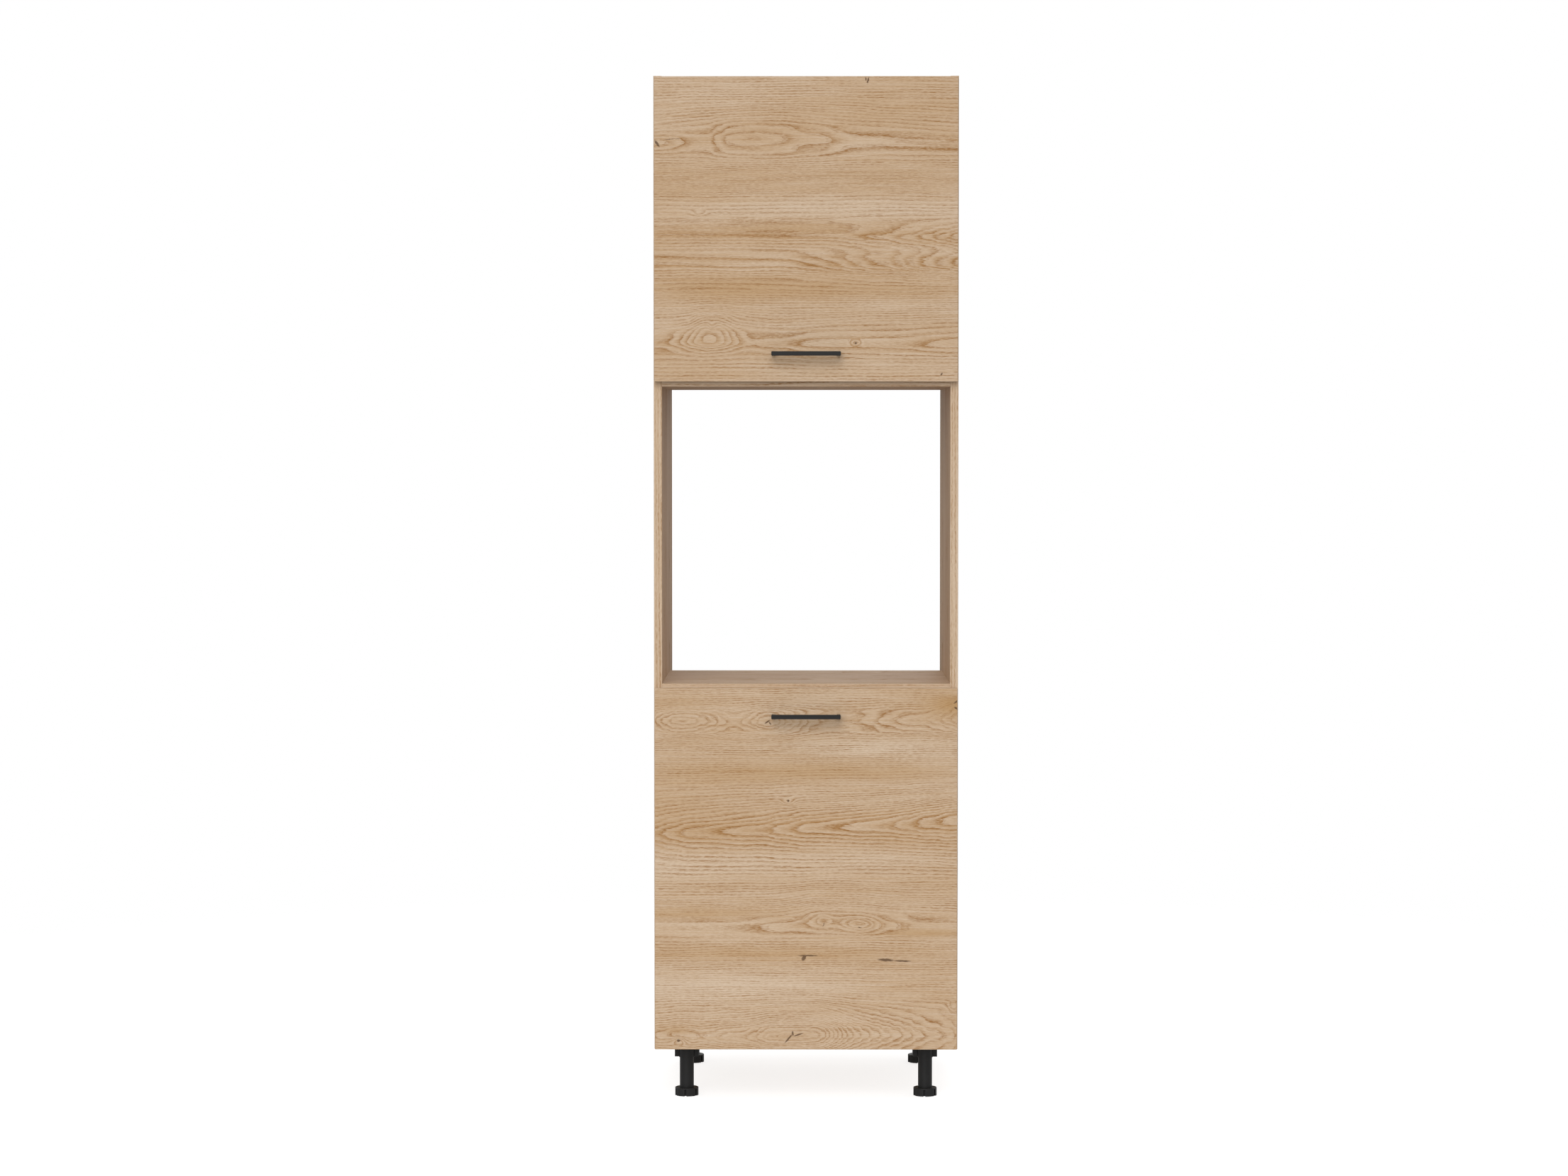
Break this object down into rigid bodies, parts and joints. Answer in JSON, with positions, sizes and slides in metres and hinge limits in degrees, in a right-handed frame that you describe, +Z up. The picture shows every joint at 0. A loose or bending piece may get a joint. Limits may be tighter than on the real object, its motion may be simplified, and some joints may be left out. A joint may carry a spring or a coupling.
{
  "type": "appliance housing cabinet",
  "caption": "Tall oak kitchen unit on levelling legs with an open oven niche between a lift-up flap and a side-hung door, each with a black bar handle.",
  "frame": {"origin": "on the floor, at the middle of the outer box's footprint, under the feet", "axes": "+Z up; +X to the right as one faces the fronts; +Y into the cabinet, so the fronts face -Y"},
  "size_m": [0.6, 0.611, 2.02],
  "materials": {
    "oak_laminate": "matt light oak laminate",
    "white_hardboard": "thin coated fibreboard",
    "beech": "raw beech",
    "black_handle": "matt black powder coat",
    "black_plastic": "moulded black plastic",
    "bumper_rubber": "pale soft bumper",
    "strut_black": "satin black tube",
    "bright_steel": "bright plated steel",
    "nickel_steel": "nickel plated pressed steel"
  },
  "bodies": {
    "carcass": {"back_panel_lower": "white_hardboard", "back_panel_upper": "white_hardboard", "bottom_panel": "oak_laminate", "cam_bolts": "nickel_steel", "cam_discs": "nickel_steel", "door_hinge_lower_arm": "nickel_steel", "door_hinge_lower_plate": "nickel_steel", "door_hinge_upper_arm": "nickel_steel", "door_hinge_upper_plate": "nickel_steel", "dowels": "beech", "flap_hinge_left_arm": "nickel_steel", "flap_hinge_left_plate": "nickel_steel", "flap_hinge_right_arm": "nickel_steel", "flap_hinge_right_plate": "nickel_steel", "front_bumpers": "bumper_rubber", "leg_socket_back_left": "black_plastic", "leg_socket_back_right": "black_plastic", "leg_socket_front_left": "black_plastic", "leg_socket_front_right": "black_plastic", "leg_stem_back_left": "black_plastic", "leg_stem_back_right": "black_plastic", "leg_stem_front_left": "black_plastic", "leg_stem_front_right": "black_plastic", "lower_shelf": "oak_laminate", "niche_ceiling": "oak_laminate", "niche_floor": "oak_laminate", "shelf_pins": "bright_steel", "side_panel_left": "oak_laminate", "side_panel_right": "oak_laminate", "strut_base_left": "nickel_steel", "strut_base_right": "nickel_steel", "top_panel": "oak_laminate", "upper_shelf": "oak_laminate", "wall_brackets": "nickel_steel"},
    "lower_door": {"lower_door": "oak_laminate", "lower_handle": "black_handle", "lower_handle_screws": "nickel_steel", "door_hinge_lower_cup": "nickel_steel", "door_hinge_upper_cup": "nickel_steel", "door_hinge_pins": "bright_steel"},
    "upper_flap": {"upper_flap": "oak_laminate", "upper_handle": "black_handle", "upper_handle_screws": "nickel_steel", "flap_hinge_left_cup": "nickel_steel", "flap_hinge_right_cup": "nickel_steel", "flap_hinge_pins": "bright_steel", "strut_flap_bracket_left": "nickel_steel", "strut_flap_bracket_right": "nickel_steel"},
    "left_strut_tube": {"strut_tube_left": "strut_black"},
    "left_strut_rod": {"strut_rod_left": "bright_steel"},
    "right_strut_tube": {"strut_tube_right": "strut_black"},
    "right_strut_rod": {"strut_rod_right": "bright_steel"},
    "front_left_foot": {"leg_foot_front_left": "black_plastic"},
    "front_right_foot": {"leg_foot_front_right": "black_plastic"},
    "back_left_foot": {"leg_foot_back_left": "black_plastic"},
    "back_right_foot": {"leg_foot_back_right": "black_plastic"}
  },
  "joints": [
    {"name": "lower_door_swing", "type": "hinge", "parent": "carcass", "child": "lower_door", "pos_m": [-0.29084, -0.2665, 0.4595], "axis": [0, 0, -1], "range_deg": [0, 105]},
    {"name": "upper_flap_swing", "type": "hinge", "parent": "carcass", "child": "upper_flap", "pos_m": [0, -0.2665, 2.01034], "axis": [-1, 0, 0], "range_deg": [0, 90]},
    {"name": "left_strut_swing", "type": "hinge", "parent": "carcass", "child": "left_strut_tube", "pos_m": [-0.27, -0.1165, 1.746], "axis": [1, 0, 0], "range_deg": [0, 10.04]},
    {"name": "left_strut_extend", "type": "slide", "parent": "left_strut_tube", "child": "left_strut_rod", "axis": [0, -0.4846, 0.8747], "range_m": [0, 0.05175]},
    {"name": "right_strut_swing", "type": "hinge", "parent": "carcass", "child": "right_strut_tube", "pos_m": [0.27, -0.1165, 1.746], "axis": [1, 0, 0], "range_deg": [0, 10.04]},
    {"name": "right_strut_extend", "type": "slide", "parent": "right_strut_tube", "child": "right_strut_rod", "axis": [0, -0.4846, 0.8747], "range_m": [0, 0.05175]},
    {"name": "front_left_foot_screw", "type": "slide", "parent": "carcass", "child": "front_left_foot", "axis": [0, 0, -1], "range_m": [0, 0.02]},
    {"name": "front_right_foot_screw", "type": "slide", "parent": "carcass", "child": "front_right_foot", "axis": [0, 0, -1], "range_m": [0, 0.02]},
    {"name": "back_left_foot_screw", "type": "slide", "parent": "carcass", "child": "back_left_foot", "axis": [0, 0, -1], "range_m": [0, 0.02]},
    {"name": "back_right_foot_screw", "type": "slide", "parent": "carcass", "child": "back_right_foot", "axis": [0, 0, -1], "range_m": [0, 0.02]}
  ],
  "couplings": [
    {"joint": "left_strut_swing", "follows": "upper_flap_swing", "ratio": 0.11147},
    {"joint": "left_strut_extend", "follows": "upper_flap_swing", "m_per_rad": 0.032911},
    {"joint": "right_strut_swing", "follows": "upper_flap_swing", "ratio": 0.11147},
    {"joint": "right_strut_extend", "follows": "upper_flap_swing", "m_per_rad": 0.032911}
  ]
}
